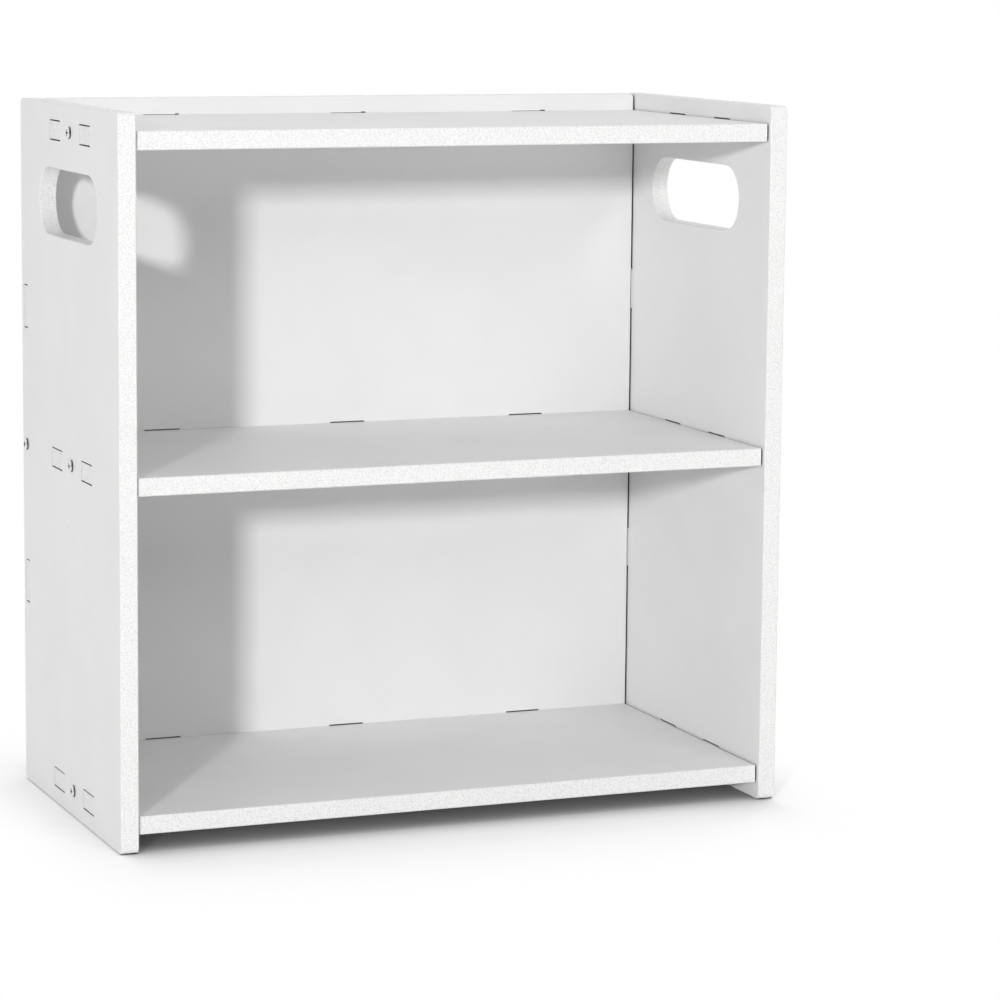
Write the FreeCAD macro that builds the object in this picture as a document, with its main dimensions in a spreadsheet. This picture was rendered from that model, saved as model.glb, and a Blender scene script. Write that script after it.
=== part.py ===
import FreeCAD, Part
import math
import os
import Sketcher

# Two-bay rack for cd cases, made from flat boards with tabs, slots and screws.
# Frame: x across, to the right seen from the front; y from the front to the back; z up.
# The origin is on the floor, in the middle of the footprint.

# Driving dimensions in millimetres: name, value, what it sets
DIMENSIONS = (
    ("overall_width", 312.0, "over the outer faces of the two side panels"),
    ("overall_depth", 158.0, "front edge to rear edge of a side panel"),
    ("foot_height", 8.0, "floor to the underside of the bottom shelf"),
    ("bay_height", 139.0, "clear height of each bay"),
    ("lip_height", 8.0, "side panels and back above the top shelf"),
    ("side_thickness", 8.0, "side panel board"),
    ("shelf_thickness", 8.0, "shelf board"),
    ("back_thickness", 6.0, "back panel board"),
    ("front_recess", 2.5, "shelf front edges behind the side panels' front edges"),
    ("back_inset", 4.0, "back panel inside the side panels' rear edges"),
    ("panel_corner_radius", 3.0, "side panel corners"),
    ("back_corner_radius", 2.5, "back panel corners"),
    ("edge_bevel", 0.4, "eased arrises of the boards"),
    ("shoulder_gap", 0.8, "shelf end to side panel, each side"),
    ("back_side_gap", 0.5, "back panel to side panel, each side"),
    ("slot_height_gap", 0.6, "slot wall above and below a tab"),
    ("slot_side_gap", 0.1, "slot wall on each side of a tab"),
    ("tab_setback", 0.1, "tab end below the outer face it comes out at"),
    ("end_tab_length", 17.0, "shelf end tabs, front to back"),
    ("end_tab_spacing", 48.0, "between the middles of the two tabs of a shelf end"),
    ("end_tab_middle", 75.0, "panel front edge to the middle of the two tabs"),
    ("rear_tab_length", 17.0, "shelf rear tabs, side to side"),
    ("rear_tab_spacing", 92.0, "between the middles of a shelf's rear tabs"),
    ("side_tab_length", 19.0, "back panel side tabs, up the edge"),
    ("side_tab_spacing", 128.0, "between the middles of a back edge's two tabs"),
    ("handle_length", 94.0, "hand hole, front to back"),
    ("handle_height", 30.0, "hand hole, top to bottom"),
    ("handle_drop", 44.0, "panel top edge to the middle of the hand hole"),
    ("screw_shank_diameter", 3.0, "screw shank and the pilot hole it cuts into"),
    ("screw_shank_length", 25.0, "under the head to the point"),
    ("screw_point_length", 3.0, "tapered point"),
    ("screw_head_diameter", 5.4, "pan head"),
    ("screw_head_height", 1.3, "pan head, proud of the side panel"),
    ("screw_head_bevel", 0.4, "bevelled rim of the head"),
    ("recess_span", 2.8, "cross recess, tip to tip"),
    ("recess_width", 0.7, "cross recess, one arm"),
    ("recess_depth", 0.8, "cross recess"),
    ("shank_clearance", 0.2, "screw shank to the hole through a side panel"),
    ("pilot_clearance", 2.0, "screw point to the bottom of its pilot hole"),
)

# Places and sizes that follow from the driving dimensions
SHELF_PITCH = "(Sizes.shelf_thickness + Sizes.bay_height)"
OVERALL_HEIGHT = f"(Sizes.foot_height + 2 * {SHELF_PITCH} + Sizes.shelf_thickness + Sizes.lip_height)"
FIRST_SHELF_MIDDLE = "(Sizes.foot_height + Sizes.shelf_thickness / 2)"
MIDDLE_SHELF_MIDDLE = f"({FIRST_SHELF_MIDDLE} + {SHELF_PITCH})"
OUTER_FACE = "(Sizes.overall_width / 2)"
INNER_FACE = "(Sizes.overall_width / 2 - Sizes.side_thickness)"
PANEL_FRONT = "(-Sizes.overall_depth / 2)"
PANEL_REAR = "(Sizes.overall_depth / 2)"
BACK_OUTER = f"({PANEL_REAR} - Sizes.back_inset)"
BACK_INNER = f"({BACK_OUTER} - Sizes.back_thickness)"
BACK_MIDDLE = f"({BACK_OUTER} - Sizes.back_thickness / 2)"
SHELF_FRONT = f"({PANEL_FRONT} + Sizes.front_recess)"
SHELF_END = f"({INNER_FACE} - Sizes.shoulder_gap)"
BACK_EDGE = f"({INNER_FACE} - Sizes.back_side_gap)"
SIDE_TAB_TIP = f"({OUTER_FACE} - Sizes.tab_setback)"
REAR_TAB_TIP = f"({BACK_OUTER} - Sizes.tab_setback)"
END_TAB_MIDDLE = f"({PANEL_FRONT} + Sizes.end_tab_middle)"
HANDLE_MIDDLE = f"({OVERALL_HEIGHT} - Sizes.handle_drop)"
SCREW_REACH = f"({OUTER_FACE} - Sizes.screw_shank_length)"
PILOT_BOTTOM = f"({SCREW_REACH} - Sizes.pilot_clearance)"

SHELF_COUNT = 3
REAR_TAB_STEPS = (-1, 0, 1)
PAIR_STEPS = (-0.5, 0.5)
QUARTER_TURN = 90
ON_PLANE = 1e-6

doc = FreeCAD.newDocument("cd_rack")
sheet = doc.addObject("Spreadsheet::Sheet", "Sizes")
subparts = []


def fill_sheet():
    """Write every driving dimension to the sheet, with its name as the alias."""
    for row, (alias, size, note) in enumerate(DIMENSIONS, start=1):
        sheet.set(f"A{row}", note)
        sheet.set(f"B{row}", str(size))
        sheet.setAlias(f"B{row}", alias)
    doc.recompute()


def value(expression):
    """Number that an expression of sheet sizes gives now."""
    return float(sheet.evalExpression(expression))


def placed_along(middle, step, spacing):
    """Expression for a place a number of spacings away from a middle."""
    return f"({middle} + {step} * {spacing})"


def span(middle, length):
    """Expressions for the two ends of a length about its middle."""
    return f"({middle} - ({length}) / 2)", f"({middle} + ({length}) / 2)"


# Sketch tools

def new_sketch(body, name, plane_role, lift=None):
    """Sketch on one of the body's own origin planes, lifted along the plane's normal."""
    sketch = body.newObject("Sketcher::SketchObject", f"{body.Name}_{name}")
    plane = next(item for item in body.Origin.OriginFeatures if item.Role == plane_role)
    sketch.AttachmentSupport = [(plane, "")]
    sketch.MapMode = "FlatFace"
    if lift:
        sketch.setExpression("AttachmentOffset.Base.z", lift)
    return sketch


def dimension(sketch, constraint, expression):
    """Add a dimension to the sketch and bind it to the sheet."""
    index = sketch.addConstraint(constraint)
    sketch.setExpression(f"Constraints[{index}]", expression)


def pin_point(sketch, geometry, vertex, x, y):
    """Fix a point at a place measured from the sketch's origin."""
    origin, origin_vertex = -1, 1
    for kind, place in (("DistanceX", x), ("DistanceY", y)):
        constraint = Sketcher.Constraint(kind, origin, origin_vertex, geometry, vertex, value(place))
        dimension(sketch, constraint, place)


def add_line(sketch, start, end):
    """Add a line between two points given as number pairs, and return its index."""
    return sketch.addGeometry(Part.LineSegment(FreeCAD.Vector(*start, 0), FreeCAD.Vector(*end, 0)))


def add_arc(sketch, centre, radius, first_quarter, last_quarter):
    """Add an arc that starts and ends on whole quarters of its circle."""
    circle = Part.Circle(FreeCAD.Vector(*centre, 0), FreeCAD.Vector(0, 0, 1), radius)
    quarter = math.pi / 2
    arc = Part.ArcOfCircle(circle, first_quarter * quarter, last_quarter * quarter)
    return sketch.addGeometry(arc)


def add_rectangle(sketch, across, up):
    """Rectangle between two ends across and two ends up, each given as an expression."""
    left, right, low, high = (value(end) for end in across + up)
    corners = [(left, low), (right, low), (right, high), (left, high)]
    lines = [add_line(sketch, corners[i], corners[(i + 1) % 4]) for i in range(4)]
    for i in range(4):
        sketch.addConstraint(Sketcher.Constraint("Coincident", lines[i], 2, lines[(i + 1) % 4], 1))
        sketch.addConstraint(Sketcher.Constraint(("Horizontal", "Vertical")[i % 2], lines[i]))
    pin_point(sketch, lines[0], 1, across[0], up[0])
    pin_point(sketch, lines[2], 1, across[1], up[1])


def add_rounded_rectangle(sketch, across, up, radius):
    """Rectangle with four rounded corners."""
    left, right, low, high = (value(end) for end in across + up)
    round_size = value(radius)
    near_left, near_right = left + round_size, right - round_size
    near_low, near_high = low + round_size, high - round_size
    edges = [
        add_line(sketch, (near_left, low), (near_right, low)),
        add_line(sketch, (right, near_low), (right, near_high)),
        add_line(sketch, (near_right, high), (near_left, high)),
        add_line(sketch, (left, near_high), (left, near_low)),
    ]
    corners = [
        add_arc(sketch, (near_right, near_low), round_size, 3, 4),
        add_arc(sketch, (near_right, near_high), round_size, 0, 1),
        add_arc(sketch, (near_left, near_high), round_size, 1, 2),
        add_arc(sketch, (near_left, near_low), round_size, 2, 3),
    ]
    for i in range(4):
        sketch.addConstraint(Sketcher.Constraint("Tangent", edges[i], 2, corners[i], 1))
        sketch.addConstraint(Sketcher.Constraint("Tangent", corners[i], 2, edges[(i + 1) % 4], 1))
        sketch.addConstraint(Sketcher.Constraint(("Horizontal", "Vertical")[i % 2], edges[i]))
    dimension(sketch, Sketcher.Constraint("Radius", corners[0], round_size), radius)
    sketch.addConstraint(Sketcher.Constraint("Equal", corners[0], corners[2]))
    pin_point(sketch, corners[3], 3, f"({across[0]} + {radius})", f"({up[0]} + {radius})")
    pin_point(sketch, corners[1], 3, f"({across[1]} - {radius})", f"({up[1]} - {radius})")


def add_stadium(sketch, across, up):
    """Long hole with half-round ends, between two ends across and two ends up."""
    left, right, low, high = (value(end) for end in across + up)
    radius = (high - low) / 2
    middle = (high + low) / 2
    top = add_line(sketch, (right - radius, high), (left + radius, high))
    bottom = add_line(sketch, (left + radius, low), (right - radius, low))
    left_end = add_arc(sketch, (left + radius, middle), radius, 1, 3)
    right_end = add_arc(sketch, (right - radius, middle), radius, 3, 5)
    outline = ((top, left_end), (left_end, bottom), (bottom, right_end), (right_end, top))
    for piece, following in outline:
        sketch.addConstraint(Sketcher.Constraint("Tangent", piece, 2, following, 1))
    height = f"({up[1]} - {up[0]})"
    middle_place = f"(({up[0]} + {up[1]}) / 2)"
    pin_point(sketch, left_end, 3, f"({across[0]} + {height} / 2)", middle_place)
    pin_point(sketch, right_end, 3, f"({across[1]} - {height} / 2)", middle_place)
    dimension(sketch, Sketcher.Constraint("Radius", left_end, radius), f"{height} / 2")


def add_circle(sketch, x, y, diameter):
    """Circle with its centre pinned and its diameter bound."""
    centre = FreeCAD.Vector(value(x), value(y), 0)
    circle = sketch.addGeometry(Part.Circle(centre, FreeCAD.Vector(0, 0, 1), value(diameter) / 2))
    pin_point(sketch, circle, 3, x, y)
    dimension(sketch, Sketcher.Constraint("Diameter", circle, value(diameter)), diameter)


# Body tools

def new_body(label):
    """Empty body for one board or screw."""
    body = doc.addObject("PartDesign::Body", label)
    body.Label = label
    return body


def add_pad(body, sketch, name, length, reversed_direction=False):
    """Pad a sketch to a bound length."""
    pad = body.newObject("PartDesign::Pad", f"{body.Name}_{name}")
    pad.Profile = sketch
    pad.Reversed = reversed_direction
    pad.setExpression("Length", length)
    doc.recompute()
    return pad


def check_cut(body, volume_before, name):
    """Stop when a cut has taken nothing away."""
    doc.recompute()
    if not body.Shape.Volume < volume_before:
        raise RuntimeError(f"{body.Label}: {name} cut nothing")


def add_through_pocket(body, sketch, name, reversed_direction=False):
    """Cut a sketch right through the board."""
    volume_before = body.Shape.Volume
    pocket = body.newObject("PartDesign::Pocket", f"{body.Name}_{name}")
    pocket.Profile = sketch
    pocket.Type = "ThroughAll"
    pocket.Reversed = reversed_direction
    check_cut(body, volume_before, name)
    return pocket


def add_screw_hole(body, sketch, name, reversed_direction):
    """Clearance hole for a screw's shank through a side panel."""
    volume_before = body.Shape.Volume
    hole = body.newObject("PartDesign::Hole", f"{body.Name}_{name}")
    hole.Profile = sketch
    doc.recompute()
    hole.Threaded = False
    hole.Reversed = reversed_direction
    hole.DepthType = "ThroughAll"
    hole.setExpression("Diameter", "Sizes.screw_shank_diameter + 2 * Sizes.shank_clearance")
    check_cut(body, volume_before, name)
    return hole


def add_pilot_hole(body, sketch, name, depth):
    """Blind pilot hole in the edge of a board, as wide as the screw's shank."""
    volume_before = body.Shape.Volume
    hole = body.newObject("PartDesign::Hole", f"{body.Name}_{name}")
    hole.Profile = sketch
    doc.recompute()
    hole.Threaded = False
    hole.DepthType = "Dimension"
    hole.DrillPoint = "Flat"
    hole.setExpression("Diameter", "Sizes.screw_shank_diameter")
    hole.setExpression("Depth", depth)
    check_cut(body, volume_before, name)
    return hole


def ease_edges(body, feature, wanted):
    """Take the sharp arris off the edges of a feature that pass a test."""
    edges = [f"Edge{i}" for i, edge in enumerate(feature.Shape.Edges, start=1) if wanted(edge)]
    bevel = body.newObject("PartDesign::Chamfer", f"{body.Name}_eased_arrises")
    bevel.Base = (feature, edges)
    bevel.setExpression("Size", "Sizes.edge_bevel")
    doc.recompute()


def repeat_up(body, features, name):
    """Repeat features of the bottom shelf's level at every shelf level."""
    axis = next(item for item in body.Origin.OriginFeatures if item.Role == "Z_Axis")
    pattern = body.newObject("PartDesign::LinearPattern", f"{body.Name}_{name}")
    pattern.Originals = features
    pattern.Direction = (axis, [""])
    pattern.Occurrences = SHELF_COUNT
    pattern.setExpression("Length", f"{SHELF_COUNT - 1} * {SHELF_PITCH}")
    body.Tip = pattern
    doc.recompute()


def mirror_across(body, features, name):
    """Repeat features of the right-hand end at the left-hand end."""
    plane = next(item for item in body.Origin.OriginFeatures if item.Role == "YZ_Plane")
    mirrored = body.newObject("PartDesign::Mirrored", f"{body.Name}_{name}")
    mirrored.Originals = features
    mirrored.MirrorPlane = (plane, [""])
    body.Tip = mirrored
    doc.recompute()


# Boards

def build_side_panel(label, is_left):
    """Side panel: eased board with a hand hole, tab slots and screw holes.

    The sketches lie in the outer face, and the board's thickness runs inwards from it.
    """
    body = new_body(label)
    body.setExpression("Placement.Base.x", f"{'-' if is_left else ''}{OUTER_FACE}")

    outline = new_sketch(body, "outline", "YZ_Plane")
    add_rounded_rectangle(
        outline, (PANEL_FRONT, PANEL_REAR), ("0", OVERALL_HEIGHT), "Sizes.panel_corner_radius"
    )
    add_stadium(
        outline, span("0", "Sizes.handle_length"), span(HANDLE_MIDDLE, "Sizes.handle_height")
    )
    board = add_pad(body, outline, "board", "Sizes.side_thickness", not is_left)
    ease_edges(body, board, lambda edge: edge.BoundBox.XLength < ON_PLANE)

    slots = new_sketch(body, "shelf_slots", "YZ_Plane")
    slot_length = "Sizes.end_tab_length + 2 * Sizes.slot_side_gap"
    slot_height = "Sizes.shelf_thickness + 2 * Sizes.slot_height_gap"
    for step in PAIR_STEPS:
        slot_middle = placed_along(END_TAB_MIDDLE, step, "Sizes.end_tab_spacing")
        add_rectangle(slots, span(slot_middle, slot_length), span(FIRST_SHELF_MIDDLE, slot_height))
    shelf_slots = add_through_pocket(body, slots, "shelf_slot_cut", is_left)

    holes = new_sketch(body, "shelf_screw_place", "YZ_Plane")
    add_circle(holes, END_TAB_MIDDLE, FIRST_SHELF_MIDDLE, "Sizes.screw_shank_diameter")
    shelf_hole = add_screw_hole(body, holes, "shelf_screw_hole", is_left)
    repeat_up(body, [shelf_slots, shelf_hole], "shelf_levels")

    back_slots = new_sketch(body, "back_slots", "YZ_Plane")
    slot_height = "Sizes.side_tab_length + 2 * Sizes.slot_height_gap"
    slot_width = "Sizes.back_thickness + 2 * Sizes.slot_side_gap"
    for step in PAIR_STEPS:
        slot_middle = placed_along(MIDDLE_SHELF_MIDDLE, step, "Sizes.side_tab_spacing")
        add_rectangle(back_slots, span(BACK_MIDDLE, slot_width), span(slot_middle, slot_height))
    add_through_pocket(body, back_slots, "back_slot_cut", is_left)

    holes = new_sketch(body, "back_screw_place", "YZ_Plane")
    add_circle(holes, BACK_MIDDLE, MIDDLE_SHELF_MIDDLE, "Sizes.screw_shank_diameter")
    add_screw_hole(body, holes, "back_screw_hole", is_left)
    subparts.append(body)


def build_shelf(label, level):
    """Shelf: plate with two tabs and a pilot hole at each end, and tabs along the rear."""
    body = new_body(label)
    body.setExpression("Placement.Base.z", f"Sizes.foot_height + {level} * {SHELF_PITCH}")

    outline = new_sketch(body, "outline", "XY_Plane")
    add_rectangle(outline, (f"-{SHELF_END}", SHELF_END), (SHELF_FRONT, BACK_INNER))
    plate = add_pad(body, outline, "plate", "Sizes.shelf_thickness")
    ease_edges(
        body, plate,
        lambda edge: edge.BoundBox.ZLength < ON_PLANE
        and abs(edge.BoundBox.YMax - value(SHELF_FRONT)) < ON_PLANE,
    )

    rear = new_sketch(body, "rear_tabs", "XY_Plane")
    for step in REAR_TAB_STEPS:
        tab_middle = placed_along("0", step, "Sizes.rear_tab_spacing")
        add_rectangle(rear, span(tab_middle, "Sizes.rear_tab_length"), (BACK_INNER, REAR_TAB_TIP))
    add_pad(body, rear, "rear_tab_pad", "Sizes.shelf_thickness")

    ends = new_sketch(body, "end_tabs", "XY_Plane")
    for step in PAIR_STEPS:
        tab_middle = placed_along(END_TAB_MIDDLE, step, "Sizes.end_tab_spacing")
        add_rectangle(ends, (SHELF_END, SIDE_TAB_TIP), span(tab_middle, "Sizes.end_tab_length"))
    end_tabs = add_pad(body, ends, "end_tab_pad", "Sizes.shelf_thickness")

    place = new_sketch(body, "pilot_place", "YZ_Plane", SHELF_END)
    add_circle(place, END_TAB_MIDDLE, "Sizes.shelf_thickness / 2", "Sizes.screw_shank_diameter")
    pilot = add_pilot_hole(body, place, "pilot_hole", f"{SHELF_END} - {PILOT_BOTTOM}")
    mirror_across(body, [end_tabs, pilot], "both_ends")
    subparts.append(body)


def build_back_panel():
    """Back panel: board with slots for the shelves' rear tabs, and tabs into the side panels.

    The sketches lie in the rear face, and the board's thickness runs forwards from it.
    """
    body = new_body("back_panel")
    body.setExpression("Placement.Base.y", BACK_OUTER)

    outline = new_sketch(body, "outline", "XZ_Plane")
    add_rounded_rectangle(
        outline, (f"-{BACK_EDGE}", BACK_EDGE), ("0", OVERALL_HEIGHT), "Sizes.back_corner_radius"
    )
    board = add_pad(body, outline, "board", "Sizes.back_thickness")
    top_of_sides = value(f"{OVERALL_HEIGHT} - Sizes.back_corner_radius")
    foot_of_sides = value("Sizes.back_corner_radius")
    ease_edges(
        body, board,
        lambda edge: edge.BoundBox.YLength < ON_PLANE
        and (edge.CenterOfMass.z > top_of_sides or edge.CenterOfMass.z < foot_of_sides),
    )

    slots = new_sketch(body, "shelf_slots", "XZ_Plane")
    slot_length = "Sizes.rear_tab_length + 2 * Sizes.slot_side_gap"
    slot_height = "Sizes.shelf_thickness + 2 * Sizes.slot_height_gap"
    for step in REAR_TAB_STEPS:
        slot_middle = placed_along("0", step, "Sizes.rear_tab_spacing")
        add_rectangle(slots, span(slot_middle, slot_length), span(FIRST_SHELF_MIDDLE, slot_height))
    shelf_slots = add_through_pocket(body, slots, "shelf_slot_cut", True)
    repeat_up(body, [shelf_slots], "shelf_levels")

    tabs = new_sketch(body, "side_tabs", "XZ_Plane")
    for step in PAIR_STEPS:
        tab_middle = placed_along(MIDDLE_SHELF_MIDDLE, step, "Sizes.side_tab_spacing")
        add_rectangle(tabs, (BACK_EDGE, SIDE_TAB_TIP), span(tab_middle, "Sizes.side_tab_length"))
    side_tabs = add_pad(body, tabs, "side_tab_pad", "Sizes.back_thickness")

    place = new_sketch(body, "pilot_place", "YZ_Plane", BACK_EDGE)
    add_circle(
        place, "-Sizes.back_thickness / 2", MIDDLE_SHELF_MIDDLE, "Sizes.screw_shank_diameter"
    )
    pilot = add_pilot_hole(body, place, "pilot_hole", f"{BACK_EDGE} - {PILOT_BOTTOM}")
    mirror_across(body, [side_tabs, pilot], "both_edges")
    subparts.append(body)


# Screws

def build_screw():
    """Screw of the left side panel, its shank along +x from the panel's outer face."""
    body = new_body("screw")
    body.setExpression("Placement.Base.x", f"-{OUTER_FACE}")

    profile = new_sketch(body, "profile", "XY_Plane")
    stations = (
        ("-Sizes.screw_head_height", "0"),
        ("Sizes.screw_shank_length", "0"),
        ("Sizes.screw_shank_length - Sizes.screw_point_length", "Sizes.screw_shank_diameter / 2"),
        ("0", "Sizes.screw_shank_diameter / 2"),
        ("0", "Sizes.screw_head_diameter / 2"),
        ("Sizes.screw_head_bevel - Sizes.screw_head_height", "Sizes.screw_head_diameter / 2"),
        ("-Sizes.screw_head_height", "Sizes.screw_head_diameter / 2 - Sizes.screw_head_bevel"),
    )
    points = [(value(along), value(out)) for along, out in stations]
    lines = [add_line(profile, points[i - 1], points[i]) for i in range(len(points))]
    for i, (along, out) in enumerate(stations):
        profile.addConstraint(Sketcher.Constraint("Coincident", lines[i - 1], 2, lines[i], 1))
        pin_point(profile, lines[i], 2, along, out)

    turned = body.newObject("PartDesign::Revolution", "screw_turned")
    turned.Profile = profile
    turned.ReferenceAxis = (profile, ["H_Axis"])
    doc.recompute()

    arm = new_sketch(body, "recess_arm", "YZ_Plane", "-Sizes.screw_head_height")
    add_rectangle(arm, span("0", "Sizes.recess_span"), span("0", "Sizes.recess_width"))
    volume_before = body.Shape.Volume
    slot = body.newObject("PartDesign::Pocket", "screw_recess_slot")
    slot.Profile = arm
    slot.Reversed = True
    slot.setExpression("Length", "Sizes.recess_depth")
    check_cut(body, volume_before, "recess slot")
    cross = body.newObject("PartDesign::PolarPattern", "screw_recess_cross")
    cross.Originals = [slot]
    cross.Axis = (arm, ["N_Axis"])
    cross.Angle = QUARTER_TURN
    cross.Occurrences = 2
    body.Tip = cross
    doc.recompute()
    return body


def build_screw_pairs():
    """One pair of screws, left and right, for each shelf and for the back panel."""
    screw = build_screw()
    opposite = doc.addObject("Part::Mirroring", "opposite_screw")
    opposite.Source = screw
    opposite.Base = FreeCAD.Vector(0, 0, 0)
    opposite.Normal = FreeCAD.Vector(1, 0, 0)
    places = (
        ("bottom_shelf_screws", END_TAB_MIDDLE, FIRST_SHELF_MIDDLE),
        ("middle_shelf_screws", END_TAB_MIDDLE, MIDDLE_SHELF_MIDDLE),
        ("top_shelf_screws", END_TAB_MIDDLE, f"({MIDDLE_SHELF_MIDDLE} + {SHELF_PITCH})"),
        ("back_panel_screws", BACK_MIDDLE, MIDDLE_SHELF_MIDDLE),
    )
    for label, depth_place, height_place in places:
        pair = doc.addObject("Part::Compound", label)
        pair.Label = label
        pair.Links = [screw, opposite]
        pair.setExpression("Placement.Base.y", depth_place)
        pair.setExpression("Placement.Base.z", height_place)
        subparts.append(pair)
    doc.recompute()


def check_document():
    """Stop when an object has failed or a sub-part has no sound solid."""
    for item in doc.Objects:
        if "Invalid" in item.State or "Error" in item.State:
            raise RuntimeError(f"{item.Name} failed: {item.State}")
    for part in subparts:
        if part.Shape.isNull() or not part.Shape.isValid() or not part.Shape.Solids:
            raise RuntimeError(f"{part.Label} has no sound solid")


def write_parts():
    """Write each sub-part to its own file and print its size."""
    os.makedirs("parts", exist_ok=True)
    for part in subparts:
        part.Shape.exportStep(f"parts/{part.Label}.step")
        box = part.Shape.BoundBox
        print(
            f"{part.Label}: {len(part.Shape.Solids)} solid(s), {part.Shape.Volume:.1f} mm3,",
            f"x {box.XMin:.2f} to {box.XMax:.2f}, y {box.YMin:.2f} to {box.YMax:.2f},",
            f"z {box.ZMin:.2f} to {box.ZMax:.2f}",
        )


fill_sheet()
build_side_panel("left_side_panel", True)
build_side_panel("right_side_panel", False)
build_back_panel()
for shelf_level, shelf_label in enumerate(("bottom_shelf", "middle_shelf", "top_shelf")):
    build_shelf(shelf_label, shelf_level)
build_screw_pairs()
doc.recompute()
check_document()
write_parts()
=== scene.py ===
import bmesh
import bpy
import math
from mathutils import Matrix, Vector


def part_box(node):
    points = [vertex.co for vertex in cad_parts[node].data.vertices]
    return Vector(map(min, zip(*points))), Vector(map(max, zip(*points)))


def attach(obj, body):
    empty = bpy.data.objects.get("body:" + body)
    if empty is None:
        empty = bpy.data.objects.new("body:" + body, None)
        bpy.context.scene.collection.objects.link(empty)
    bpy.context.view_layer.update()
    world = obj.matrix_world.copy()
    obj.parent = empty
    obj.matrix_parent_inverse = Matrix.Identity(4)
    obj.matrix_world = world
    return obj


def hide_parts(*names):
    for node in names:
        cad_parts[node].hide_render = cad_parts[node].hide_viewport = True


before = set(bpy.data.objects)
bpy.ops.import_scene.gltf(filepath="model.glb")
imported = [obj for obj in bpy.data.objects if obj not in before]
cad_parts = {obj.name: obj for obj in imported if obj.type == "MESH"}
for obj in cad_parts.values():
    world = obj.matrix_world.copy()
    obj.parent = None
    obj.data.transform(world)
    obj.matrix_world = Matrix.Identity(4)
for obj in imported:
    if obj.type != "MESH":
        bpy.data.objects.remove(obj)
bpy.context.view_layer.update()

MM = 0.001

# Boards of the rack, with the direction that each board's smooth faces look along
BOARD_SKINS = {
    "left_side_panel": (1.0, 0.0, 0.0),
    "right_side_panel": (1.0, 0.0, 0.0),
    "back_panel": (0.0, 1.0, 0.0),
    "bottom_shelf": (0.0, 0.0, 1.0),
    "middle_shelf": (0.0, 0.0, 1.0),
    "top_shelf": (0.0, 0.0, 1.0),
}
SCREW_NODES = ("bottom_shelf_screws", "middle_shelf_screws", "top_shelf_screws", "back_panel_screws")


# Node tools

RISING = (0.0, 1.0)
FALLING = (1.0, 0.0)
NOISE_MIDDLE = (0.3, 0.7)
AO_SAMPLES = 8
MIX_COLOUR_INPUTS = (0, 6, 7)
MIX_COLOUR_OUTPUT = 2


def add_node(tree, kind, inputs=None, **settings):
    """Add a node, set its options, and feed its inputs with numbers, colours or sockets."""
    node = tree.nodes.new(kind)
    for name, setting in settings.items():
        setattr(node, name, setting)
    for socket, source in (inputs or {}).items():
        if isinstance(source, bpy.types.NodeSocket):
            tree.links.new(source, node.inputs[socket])
        else:
            node.inputs[socket].default_value = source
    return node


def add_math(tree, operation, first, second=0.0):
    """Arithmetic on two numbers or sockets."""
    node = add_node(tree, "ShaderNodeMath", {0: first, 1: second}, operation=operation)
    return node.outputs[0]


def add_range(tree, value, span, result=RISING):
    """Smooth step of a value over a span, from the first result to the second."""
    inputs = {
        "Value": value, "From Min": span[0], "From Max": span[1], "To Min": result[0], "To Max": result[1],
    }
    node = add_node(tree, "ShaderNodeMapRange", inputs, interpolation_type="SMOOTHSTEP")
    return node.outputs["Result"]


def add_blend(tree, factor, first, second):
    """Blend of two colours."""
    node = add_node(tree, "ShaderNodeMix", data_type="RGBA")
    for index, source in zip(MIX_COLOUR_INPUTS, (factor, first, second)):
        if isinstance(source, bpy.types.NodeSocket):
            tree.links.new(source, node.inputs[index])
        else:
            node.inputs[index].default_value = source
    return node.outputs[MIX_COLOUR_OUTPUT]


def add_noise(tree, place, scale, detail):
    """Noise field over the object's own coordinates, in cycles per metre."""
    inputs = {"Vector": place, "Scale": scale, "Detail": detail}
    return add_node(tree, "ShaderNodeTexNoise", inputs).outputs["Fac"]


def add_openness(tree, reach):
    """Part of the surroundings within reach that a surface point sees, low in gaps and corners."""
    node = add_node(tree, "ShaderNodeAmbientOcclusion", {"Distance": reach}, samples=AO_SAMPLES)
    return node.outputs["AO"]


def add_bump(tree, height, strength, depth, under=None):
    """Normal that is bent by a height field, over the bent normal under it where one is given."""
    inputs = {"Height": height, "Strength": strength, "Distance": depth}
    if under is not None:
        inputs["Normal"] = under
    return add_node(tree, "ShaderNodeBump", inputs).outputs["Normal"]


def add_vector(tree, operation, first, second=None):
    """Arithmetic on vectors, with the node's whole output row."""
    inputs = {0: first} if second is None else {0: first, 1: second}
    return add_node(tree, "ShaderNodeVectorMath", inputs, operation=operation).outputs


def grey(level, warmth=0.0):
    """Neutral colour, a little warmer where asked."""
    return (level, level, level * (1.0 - warmth), 1.0)


def new_material(name):
    """Material with an empty node tree but for its output."""
    material = bpy.data.materials.new(name)
    material.use_nodes = True
    tree = material.node_tree
    tree.nodes.clear()
    output = add_node(tree, "ShaderNodeOutputMaterial")
    return material, tree, output


# Board: smooth satin skins on both faces, and cut edges that open the foamed core.
# Texture scales are in cycles per metre, and the speck range is a share of the distance between specks.

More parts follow.
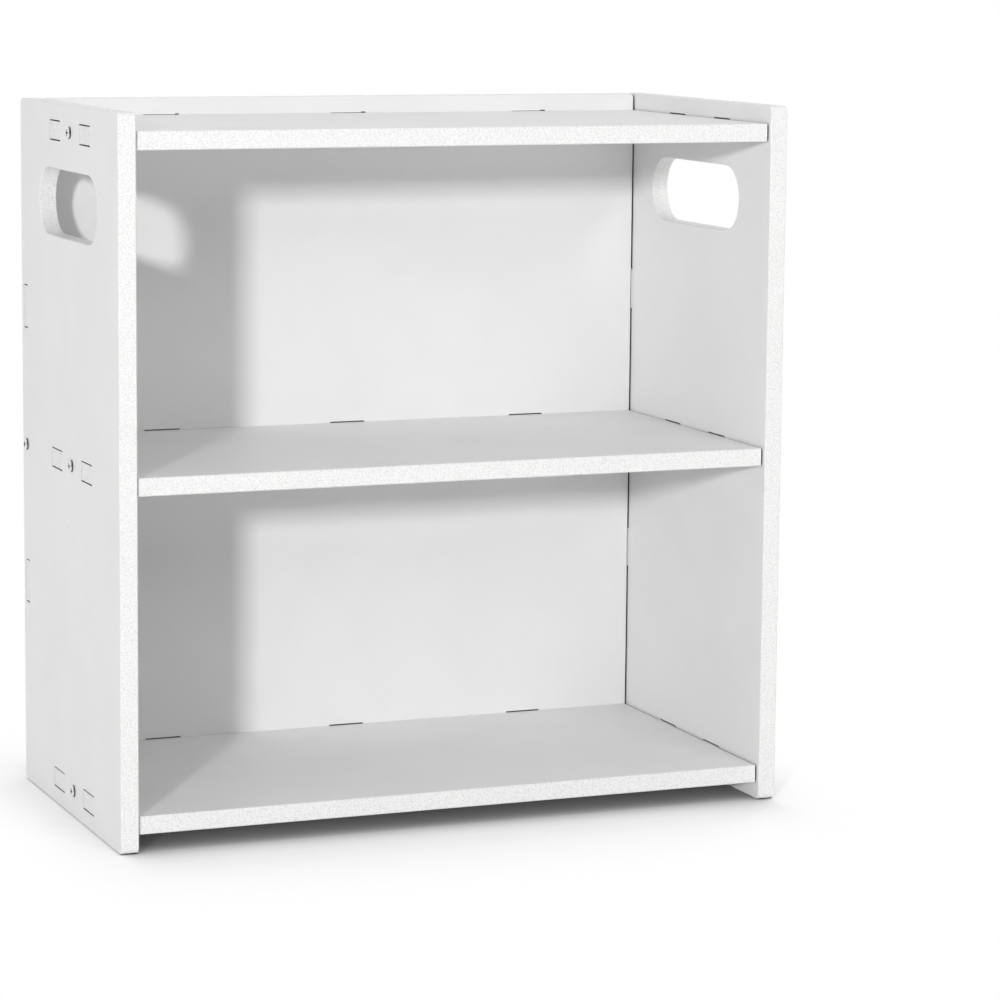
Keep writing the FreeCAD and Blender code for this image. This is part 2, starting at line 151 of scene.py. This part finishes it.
SKIN_LIGHT = grey(0.825)
SKIN_DARK = grey(0.80)
# Painted shade: the side panels' skins are a little darker than the other boards' skins, to suit how light
# falls on their faces.
SIDE_SKIN_SHADED_LIGHT = grey(0.82)
SIDE_SKIN_SHADED_DARK = grey(0.795)
CUT_LIGHT = grey(0.83, 0.006)
CUT_PIT = grey(0.70, 0.006)
SPECK = grey(0.32)
# Painted shade: near black in slits, gaps and tight corners, where a point sees little of its surroundings
# within the gap reach.
GAP_PAINTED_SHADE = grey(0.008)
MOTTLE_SCALE = 22.0
HAZE_SCALE = 900.0
CELL_SCALE = 1700.0
CRUMB_SCALE = 1100.0
FINE_DETAIL = 3.0
HAZE_DETAIL = 2.0
GRAIN_RANGE = (0.14, 0.44)
SKIN_FACING = (0.75, 0.95)
SPECK_SCALE = 26.0
SPECK_RANGE = (0.012, 0.006)
GAP_REACH = 1.6 * MM
GAP_OPENNESS = (0.30, 0.54)
SKIN_ROUGHNESS = (0.40, 0.47)
CUT_ROUGHNESS = (0.46, 0.28)
PORE_STRENGTH = 0.15
PORE_DEPTH = 0.02 * MM
PEEL_STRENGTH = 0.25
PEEL_DEPTH = 0.02 * MM
BOARD_IOR = 1.46
SHEEN = 0.38


def cut_grain(tree, place):
    """Solid part of the opened core, 1 on the walls of its cells and 0 in its pits."""
    cells = add_node(tree, "ShaderNodeTexVoronoi", {"Vector": place, "Scale": CELL_SCALE})
    crumbs = add_noise(tree, place, CRUMB_SCALE, FINE_DETAIL)
    grain = add_math(tree, "MULTIPLY", cells.outputs["Distance"], crumbs)
    return add_range(tree, grain, GRAIN_RANGE, FALLING)


def make_board(name, skin_direction, skin_light, skin_dark):
    """White foamed board whose skins look along one direction."""
    material, tree, output = new_material(name)
    place = add_node(tree, "ShaderNodeTexCoord").outputs["Object"]
    facing = add_node(tree, "ShaderNodeNewGeometry").outputs["True Normal"]
    across = add_vector(tree, "DOT_PRODUCT", facing, skin_direction)["Value"]
    skin = add_range(tree, add_math(tree, "ABSOLUTE", across), SKIN_FACING)
    core = add_math(tree, "SUBTRACT", 1.0, skin)

    mottle = add_range(tree, add_noise(tree, place, MOTTLE_SCALE, FINE_DETAIL), NOISE_MIDDLE)
    haze = add_noise(tree, place, HAZE_SCALE, HAZE_DETAIL)
    solid = cut_grain(tree, place)
    skin_colour = add_blend(tree, mottle, skin_dark, skin_light)
    cut_colour = add_blend(tree, solid, CUT_PIT, CUT_LIGHT)
    board_colour = add_blend(tree, skin, cut_colour, skin_colour)

    dots = add_node(tree, "ShaderNodeTexVoronoi", {"Vector": place, "Scale": SPECK_SCALE})
    speck = add_range(tree, dots.outputs["Distance"], SPECK_RANGE)
    speckled = add_blend(tree, speck, board_colour, SPECK)
    # Painted shade: the board's colour darkens to near black in slits and gaps.
    lit_part = add_range(tree, add_openness(tree, GAP_REACH), GAP_OPENNESS)
    colour = add_blend(tree, lit_part, GAP_PAINTED_SHADE, speckled)

    skin_rough = add_range(tree, haze, NOISE_MIDDLE, SKIN_ROUGHNESS)
    cut_rough = add_range(tree, solid, RISING, CUT_ROUGHNESS)
    rough_step = add_math(tree, "SUBTRACT", skin_rough, cut_rough)
    roughness = add_math(tree, "ADD", cut_rough, add_math(tree, "MULTIPLY", rough_step, skin))

    relief = add_math(tree, "MULTIPLY", solid, core)
    pores = add_bump(tree, relief, PORE_STRENGTH, PORE_DEPTH)
    normal = add_bump(tree, haze, PEEL_STRENGTH, PEEL_DEPTH, pores)
    shader = add_node(
        tree, "ShaderNodeBsdfPrincipled", {"Base Color": colour, "Roughness": roughness, "Normal": normal}
    )
    shader.inputs["IOR"].default_value = BOARD_IOR
    shader.inputs["Specular IOR Level"].default_value = SHEEN
    tree.links.new(shader.outputs["BSDF"], output.inputs["Surface"])
    return material


# Screws: bright zinc plating

ZINC_DARK = (0.70, 0.71, 0.73, 1.0)
ZINC_LIGHT = (0.78, 0.79, 0.79, 1.0)
ZINC_ROUGHNESS = (0.26, 0.20)
CLOUD_SCALE = 700.0
CLOUD_DETAIL = 3.0
SCRATCH_SCALE = 4200.0
SCRATCH_DETAIL = 2.0
SCRATCH_STRENGTH = 0.15
SCRATCH_DEPTH = 0.01 * MM
# Painted shade: near black at the base of the head's wall and in the cross recess, where little of the
# surroundings is seen.
ZINC_PAINTED_SHADE = grey(0.05)
ZINC_SHADE_REACH = 3.0 * MM
ZINC_SHADE_OPENNESS = (0.60, 0.84)


def make_zinc():
    """Bright zinc with faint cloudy patches and scratches, and painted shade at the base of the head and
    in its recess.
    """
    material, tree, output = new_material("zinc_screw")
    place = add_node(tree, "ShaderNodeTexCoord").outputs["Object"]
    clouds = add_range(tree, add_noise(tree, place, CLOUD_SCALE, CLOUD_DETAIL), NOISE_MIDDLE)
    bright = add_blend(tree, clouds, ZINC_DARK, ZINC_LIGHT)
    # Painted shade darkens the zinc where little of the surroundings is seen.
    unshaded = add_range(tree, add_openness(tree, ZINC_SHADE_REACH), ZINC_SHADE_OPENNESS)
    colour = add_blend(tree, unshaded, ZINC_PAINTED_SHADE, bright)
    roughness = add_range(tree, clouds, RISING, ZINC_ROUGHNESS)
    scratches = add_noise(tree, place, SCRATCH_SCALE, SCRATCH_DETAIL)
    normal = add_bump(tree, scratches, SCRATCH_STRENGTH, SCRATCH_DEPTH)
    shader = add_node(
        tree, "ShaderNodeBsdfPrincipled", {"Base Color": colour, "Roughness": roughness, "Normal": normal}
    )
    shader.inputs["Metallic"].default_value = 1.0
    tree.links.new(shader.outputs["BSDF"], output.inputs["Surface"])
    return material


# Screw shape, along +x from the seat under the head. The ridge's half width is a share of the pitch.

HEAD_HEIGHT = 1.3 * MM
HEAD_RIM_POWER = 0.45
HEAD_WALL = 0.35
SHANK_RADIUS = 1.5 * MM
CORE_RADIUS = 1.05 * MM
THREAD_START = 0.9 * MM
THREAD_PITCH = 1.25 * MM
RIDGE_HALF_WIDTH = 0.28
POINT_START = 22.0 * MM
SHANK_END = 25.0 * MM
RECESS_DEPTH = 1.0 * MM
RECESS_MOUTH = (3.0 * MM, 0.80 * MM)
RECESS_FLOOR = (1.6 * MM, 0.45 * MM)
CUTTER_RISE = 0.5 * MM
SHARP_ANGLE = 35.0
TURN_STEPS = 48
HEAD_STEPS = 10
STEPS_PER_PITCH = 8


def head_profile(head_radius):
    """Pairs of place along the axis and radius, from the crown of the head to its rim."""
    profile = []
    for step in range(1, HEAD_STEPS + 1):
        angle = 0.5 * math.pi * step / HEAD_STEPS
        radius = head_radius * math.sin(angle)
        rise = math.cos(angle) ** HEAD_RIM_POWER
        profile.append((-HEAD_HEIGHT * (HEAD_WALL + (1.0 - HEAD_WALL) * rise), radius))
    profile.append((0.0, head_radius))
    return profile


def thread_radius(along, turn):
    """Radius of the threaded shank at a place along it and a part of a turn."""
    fade_in = min(1.0, max(0.0, (along - THREAD_START) / THREAD_PITCH))
    taper = min(1.0, max(0.0, (SHANK_END - along) / (SHANK_END - POINT_START)))
    phase = (along / THREAD_PITCH - turn) % 1.0
    ridge = max(0.0, 1.0 - abs(phase - 0.5) / RIDGE_HALF_WIDTH)
    core = CORE_RADIUS if along > THREAD_START else SHANK_RADIUS
    return taper * (core + (SHANK_RADIUS - core) * ridge * fade_in)


def add_ring(mesh, along, radius_at):
    """Ring of vertices round the x axis."""
    ring = []
    for step in range(TURN_STEPS):
        turn = step / TURN_STEPS
        angle = 2.0 * math.pi * turn
        radius = radius_at(turn)
        ring.append(mesh.verts.new((along, radius * math.cos(angle), radius * math.sin(angle))))
    return ring


def screw_mesh(head_radius):
    """Closed screw: pan head, neck, running thread and sharp point."""
    mesh = bmesh.new()
    rings = []
    for along, radius in head_profile(head_radius):
        rings.append(add_ring(mesh, along, lambda turn, radius=radius: radius))
    rings.append(add_ring(mesh, 0.0, lambda turn: SHANK_RADIUS))
    thread_steps = round(STEPS_PER_PITCH * SHANK_END / THREAD_PITCH)
    for step in range(1, thread_steps):
        along = SHANK_END * step / thread_steps
        rings.append(add_ring(mesh, along, lambda turn, along=along: thread_radius(along, turn)))
    crown = mesh.verts.new((-HEAD_HEIGHT, 0.0, 0.0))
    tip = mesh.verts.new((SHANK_END, 0.0, 0.0))
    for step in range(TURN_STEPS):
        following = (step + 1) % TURN_STEPS
        mesh.faces.new((crown, rings[0][following], rings[0][step]))
        mesh.faces.new((tip, rings[-1][step], rings[-1][following]))
        for first, second in zip(rings, rings[1:]):
            mesh.faces.new((first[step], first[following], second[following], second[step]))
    bmesh.ops.recalc_face_normals(mesh, faces=mesh.faces)
    return mesh


def wing_mesh(turned):
    """Tapered bar that cuts one pair of wings of the cross recess."""
    mesh = bmesh.new()
    corners = []
    steepness = 1.0 + CUTTER_RISE / RECESS_DEPTH
    mouth = [floor + (top - floor) * steepness for top, floor in zip(RECESS_MOUTH, RECESS_FLOOR)]
    for along, (length, width) in (
        (-HEAD_HEIGHT - CUTTER_RISE, mouth),
        (-HEAD_HEIGHT + RECESS_DEPTH, RECESS_FLOOR),
    ):
        for side, up in ((-1, -1), (1, -1), (1, 1), (-1, 1)):
            corners.append(mesh.verts.new((along, 0.5 * side * length, 0.5 * up * width)))
    near, far = corners[:4], corners[4:]
    mesh.faces.new(near[::-1])
    mesh.faces.new(far)
    for i in range(4):
        following = (i + 1) % 4
        mesh.faces.new((near[i], near[following], far[following], far[i]))
    if turned:
        bmesh.ops.rotate(mesh, verts=mesh.verts, matrix=Matrix.Rotation(0.5 * math.pi, 3, "X"))
    bmesh.ops.recalc_face_normals(mesh, faces=mesh.faces)
    return mesh


def to_object(mesh, name):
    """Object from a mesh under construction, which is freed."""
    data = bpy.data.meshes.new(name)
    mesh.to_mesh(data)
    mesh.free()
    thing = bpy.data.objects.new(name, data)
    bpy.context.scene.collection.objects.link(thing)
    return thing


def cut_recess(screw):
    """Cut the cross recess into the head, and leave no modifier or cutter behind."""
    for turned in (False, True):
        cutter = to_object(wing_mesh(turned), "recess_cutter")
        modifier = screw.modifiers.new("recess", "BOOLEAN")
        modifier.operation = "DIFFERENCE"
        modifier.solver = "EXACT"
        modifier.object = cutter
        evaluated = screw.evaluated_get(bpy.context.evaluated_depsgraph_get())
        cut = bpy.data.meshes.new_from_object(evaluated)
        screw.modifiers.clear()
        screw.data = cut
        bpy.data.objects.remove(cutter)


def build_screw_pair(node, material):
    """Detailed left and right screws in place of one of the frame's screw nodes."""
    low, high = (Vector(corner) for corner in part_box(node))
    middle = 0.5 * (low + high)
    head_radius = 0.5 * (high.z - low.z)
    master = to_object(screw_mesh(head_radius), "screw_master")
    cut_recess(master)
    seat = high.x - HEAD_HEIGHT
    pair = bmesh.new()
    for side in (-1, 1):
        half = bmesh.new()
        half.from_mesh(master.data)
        turn = Matrix.Rotation(math.pi if side > 0 else 0.0, 4, "Z")
        move = Matrix.Translation((side * seat, middle.y, middle.z))
        half.transform(move @ turn)
        data = bpy.data.meshes.new("screw_half")
        half.to_mesh(data)
        half.free()
        pair.from_mesh(data)
        bpy.data.meshes.remove(data)
    bpy.data.objects.remove(master)
    piece = to_object(pair, node.replace("screws", "screw_pair"))
    piece.data.materials.clear()
    piece.data.materials.append(material)
    for face in piece.data.polygons:
        face.use_smooth = True
    piece.data.set_sharp_from_angle(angle=math.radians(SHARP_ANGLE))
    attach(piece, "root")
    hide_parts(node)


def dress_boards():
    """Give every board its material, with the skins on the board's own faces."""
    materials = {}
    for node, direction in BOARD_SKINS.items():
        if direction not in materials:
            axis_name = "xyz"[direction.index(1.0)]
            # Painted shade: the side panels take the darker copy of the skin colours.
            skins = (SIDE_SKIN_SHADED_LIGHT, SIDE_SKIN_SHADED_DARK) if axis_name == "x" else (SKIN_LIGHT, SKIN_DARK)
            materials[direction] = make_board(f"white_board_{axis_name}", direction, *skins)
        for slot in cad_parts[node].material_slots:
            slot.material = materials[direction]


# Stage: pale floor that turns to plain white further out, with a close contact shadow.
# Ranges are in metres: outside the footprint, across from the middle, and front to back.

FLOOR_REACH = 30.0
FLOOR_ALBEDO = grey(0.90)
FLOOR_LIFT = 0.20
FOOTPRINT_HALF = (0.156, 0.079, 0.0)
FADE_RANGE = (0.0, 0.12)
FADE_WEIGHT = (2.4, 1.0, 1.0)
CONTACT_REACH = 0.05
CONTACT_POWER = 1.05
CONTACT_LEAN = (-0.45, 0.40, 0.80)
CONTACT_SAMPLES = 16
CONTACT_EDGE = (0.150, 0.158)
CONTACT_DARKNESS = (0.84, 0.20)
GLOSS_FLOOR_RANGE = (-1.4, -0.5)
GLOSS_FRONT = 0.04


def distance_from_footprint(tree, mirrored):
    """Distance outside the rack's footprint, weighed so that the white comes nearer at its sides."""
    outside = add_vector(tree, "SUBTRACT", mirrored, FOOTPRINT_HALF)[0]
    beyond = add_vector(tree, "MAXIMUM", outside, (0.0, 0.0, 0.0))[0]
    weighed = add_vector(tree, "MULTIPLY", beyond, FADE_WEIGHT)[0]
    return add_vector(tree, "LENGTH", weighed)["Value"]


def contact_light(tree, mirrored):
    """Part of the light that the floor keeps, least under the bottom shelf."""
    openness = add_node(
        tree, "ShaderNodeAmbientOcclusion", {"Distance": CONTACT_REACH, "Normal": CONTACT_LEAN},
        samples=CONTACT_SAMPLES,
    ).outputs["AO"]
    open_part = add_math(tree, "POWER", openness, CONTACT_POWER)
    across = add_node(tree, "ShaderNodeSeparateXYZ", {0: mirrored}).outputs["X"]
    darkness = add_range(tree, across, CONTACT_EDGE, CONTACT_DARKNESS)
    lost = add_math(tree, "MULTIPLY", add_math(tree, "SUBTRACT", 1.0, open_part), darkness)
    return add_math(tree, "SUBTRACT", 1.0, lost)


def make_floor_material():
    """Pale floor that lights the rack evenly, shadowed near it and plain white further out."""
    material, tree, output = new_material("floor_white")
    place = add_node(tree, "ShaderNodeTexCoord").outputs["Object"]
    mirrored = add_vector(tree, "ABSOLUTE", place)[0]
    path = add_node(tree, "ShaderNodeLightPath").outputs

    contact = contact_light(tree, mirrored)
    contact_colour = add_blend(tree, contact, grey(0.0), FLOOR_ALBEDO)
    shaded = add_node(tree, "ShaderNodeBsdfDiffuse", {"Color": contact_colour})
    strength = add_math(tree, "MULTIPLY", contact, FLOOR_LIFT)
    lift = add_node(tree, "ShaderNodeEmission", {"Color": grey(1.0), "Strength": strength})
    near = add_node(tree, "ShaderNodeAddShader", {0: shaded.outputs[0], 1: lift.outputs[0]})

    depth = add_node(tree, "ShaderNodeSeparateXYZ", {0: place}).outputs["Y"]
    lost_in_gloss = add_range(tree, depth, GLOSS_FLOOR_RANGE, (1.0 - GLOSS_FRONT, 0.0))
    dimmed = add_math(tree, "MULTIPLY", lost_in_gloss, path["Is Glossy Ray"])
    plain = add_math(tree, "SUBTRACT", 1.0, dimmed)
    white = add_node(tree, "ShaderNodeEmission", {"Color": grey(1.0), "Strength": plain})

    far = add_range(tree, distance_from_footprint(tree, mirrored), FADE_RANGE)
    shown = add_node(tree, "ShaderNodeMixShader", {0: far, 1: near.outputs[0], 2: white.outputs[0]})
    lit = add_node(tree, "ShaderNodeBsdfDiffuse", {"Color": FLOOR_ALBEDO})
    seen = add_math(tree, "MAXIMUM", path["Is Camera Ray"], path["Is Glossy Ray"])
    seen = add_math(tree, "MAXIMUM", seen, path["Is Transmission Ray"])
    whole = add_node(tree, "ShaderNodeMixShader", {0: seen, 1: lit.outputs[0], 2: shown.outputs[0]})
    tree.links.new(whole.outputs[0], output.inputs["Surface"])
    return material


def build_floor():
    """Large floor under the rack."""
    mesh = bmesh.new()
    bmesh.ops.create_grid(mesh, x_segments=1, y_segments=1, size=FLOOR_REACH)
    floor = to_object(mesh, "floor")
    floor.data.materials.append(make_floor_material())


# Light: a soft box at the left in front, a large one high in front, one behind, and a pale room

ROOM_HORIZON = 0.02
ROOM_ZENITH = 1.10
ROOM_FRONT = 0.45
ROOM_FRONT_RANGE = (-0.8, 0.2)
GLOSS_ROOM_RANGE = (-0.85, -0.3)
LAMP_TARGET = Vector((0.0, 0.0, 0.17))

# Name, place, edge in metres and power in watts of each lamp
LAMPS = (
    ("key_left", (-2.19, -3.18, 0.93), 0.26, 84.0),
    ("fill_high", (0.60, -2.60, 1.75), 1.30, 21.0),
    ("fill_rear", (2.30, 2.30, 0.32), 0.90, 46.0),
)


def build_lamps():
    """Square area lamps as soft boxes, turned to the middle of the rack."""
    for name, place, size, power in LAMPS:
        light = bpy.data.lights.new(name, "AREA")
        light.shape = "SQUARE"
        light.size = size
        light.energy = power
        lamp = bpy.data.objects.new(name, light)
        lamp.visible_camera = False
        lamp.visible_glossy = False
        lamp.location = place
        lamp.rotation_euler = (LAMP_TARGET - lamp.location).to_track_quat("-Z", "Y").to_euler()
        bpy.context.scene.collection.objects.link(lamp)


def build_world():
    """Pale room: stronger high up, weaker in front, plain white to the camera."""
    world = bpy.data.worlds.new("pale_room")
    bpy.context.scene.world = world
    world.use_nodes = True
    tree = world.node_tree
    tree.nodes.clear()
    toward = add_node(tree, "ShaderNodeTexCoord").outputs["Generated"]
    parts = add_node(tree, "ShaderNodeSeparateXYZ", {0: toward}).outputs
    overhead = add_node(
        tree, "ShaderNodeMapRange",
        {"Value": parts["Z"], "To Min": ROOM_HORIZON, "To Max": ROOM_ZENITH},
    ).outputs["Result"]
    frontal = add_range(tree, parts["Y"], ROOM_FRONT_RANGE, (ROOM_FRONT, 1.0))
    level = add_math(tree, "MULTIPLY", overhead, frontal)
    path = add_node(tree, "ShaderNodeLightPath").outputs
    seen = add_math(tree, "MAXIMUM", path["Is Camera Ray"], path["Is Transmission Ray"])
    mirrored = add_range(tree, parts["Y"], GLOSS_ROOM_RANGE, (GLOSS_FRONT, 1.0))
    lighting = add_node(tree, "ShaderNodeBackground", {"Color": grey(1.0), "Strength": level})
    gloss = add_node(tree, "ShaderNodeBackground", {"Color": grey(1.0), "Strength": mirrored})
    plain = add_node(tree, "ShaderNodeBackground", {"Color": grey(1.0), "Strength": 1.0})
    room = add_node(
        tree, "ShaderNodeMixShader",
        {0: path["Is Glossy Ray"], 1: lighting.outputs[0], 2: gloss.outputs[0]},
    )
    whole = add_node(tree, "ShaderNodeMixShader", {0: seen, 1: room.outputs[0], 2: plain.outputs[0]})
    output = add_node(tree, "ShaderNodeOutputWorld")
    tree.links.new(whole.outputs[0], output.inputs["Surface"])


# Camera: fitted to the board edges of the photograph, its angles in degrees

CAMERA_PLACE = (-0.58056, -1.53062, 0.38510)
CAMERA_YAW = 21.44
CAMERA_PITCH = 7.71
CAMERA_ROLL = 0.40
FOCAL_PIXELS = 3599.92
IMAGE_PIXELS = 1000.0
SENSOR_WIDTH = 36.0
CAMERA_SHIFT = 0.06
VIEW_REACH = 100.0


def build_camera():
    """Camera at the photograph's place, turned right by the yaw and down by the pitch."""
    yaw, pitch, roll = (math.radians(angle) for angle in (CAMERA_YAW, CAMERA_PITCH, CAMERA_ROLL))
    forward = Vector((math.sin(yaw) * math.cos(pitch), math.cos(yaw) * math.cos(pitch), -math.sin(pitch)))
    level = Vector((math.cos(yaw), -math.sin(yaw), 0.0))
    upright = level.cross(forward)
    right = math.cos(roll) * level + math.sin(roll) * upright
    up = math.cos(roll) * upright - math.sin(roll) * level
    data = bpy.data.cameras.new("photo_camera")
    data.sensor_width = SENSOR_WIDTH
    data.lens = FOCAL_PIXELS / IMAGE_PIXELS * SENSOR_WIDTH
    data.shift_x = CAMERA_SHIFT
    data.shift_y = -CAMERA_SHIFT
    data.clip_end = VIEW_REACH
    camera = bpy.data.objects.new("photo_camera", data)
    bpy.context.scene.collection.objects.link(camera)
    turn = Matrix((right, up, -forward)).transposed().to_4x4()
    camera.matrix_world = Matrix.Translation(CAMERA_PLACE) @ turn
    bpy.context.scene.camera = camera


dress_boards()
zinc = make_zinc()
for screw_node in SCREW_NODES:
    build_screw_pair(screw_node, zinc)
build_floor()
build_lamps()
build_world()
build_camera()
bpy.context.scene.view_settings.view_transform = "Standard"
